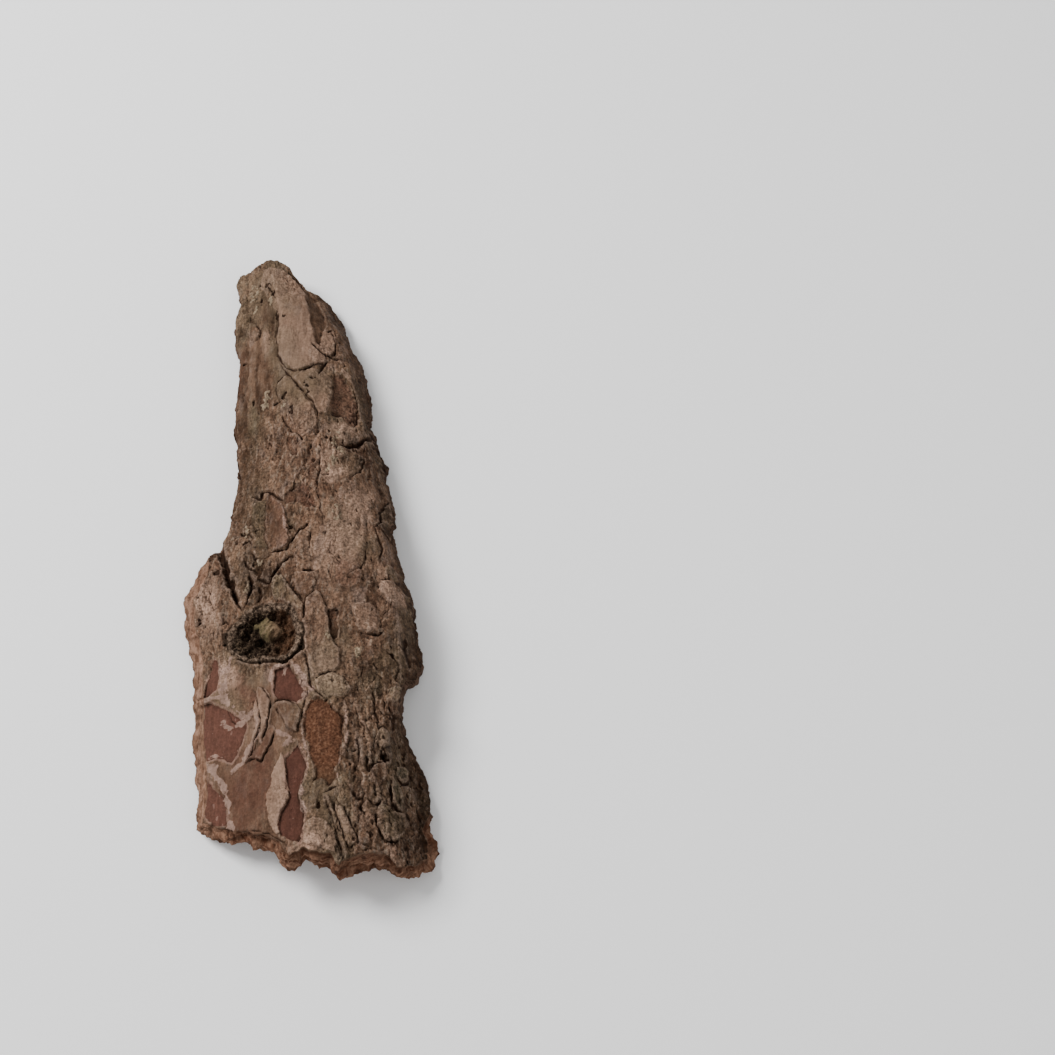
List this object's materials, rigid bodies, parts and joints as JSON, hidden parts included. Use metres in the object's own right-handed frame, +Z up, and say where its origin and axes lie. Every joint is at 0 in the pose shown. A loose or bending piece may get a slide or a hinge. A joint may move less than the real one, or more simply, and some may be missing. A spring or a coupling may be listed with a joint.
{
  "type": "piece of pine bark",
  "caption": "Long curved slab of weathered pine bark, flaky outer side up with a hollow knot, tapering to one end, rims broken in layers.",
  "frame": {"origin": "middle of the slab's bounding box, at the ground it lies on", "axes": "+Y along the slab to its narrow end, +X across it to the steep side, +Z up out of the weathered side"},
  "size_m": [0.1061, 0.2727, 0.0351],
  "materials": {
    "bark": "dry, dull and rough"
  },
  "bodies": {
    "root": {"bark_slab": "bark"}
  },
  "joints": []
}
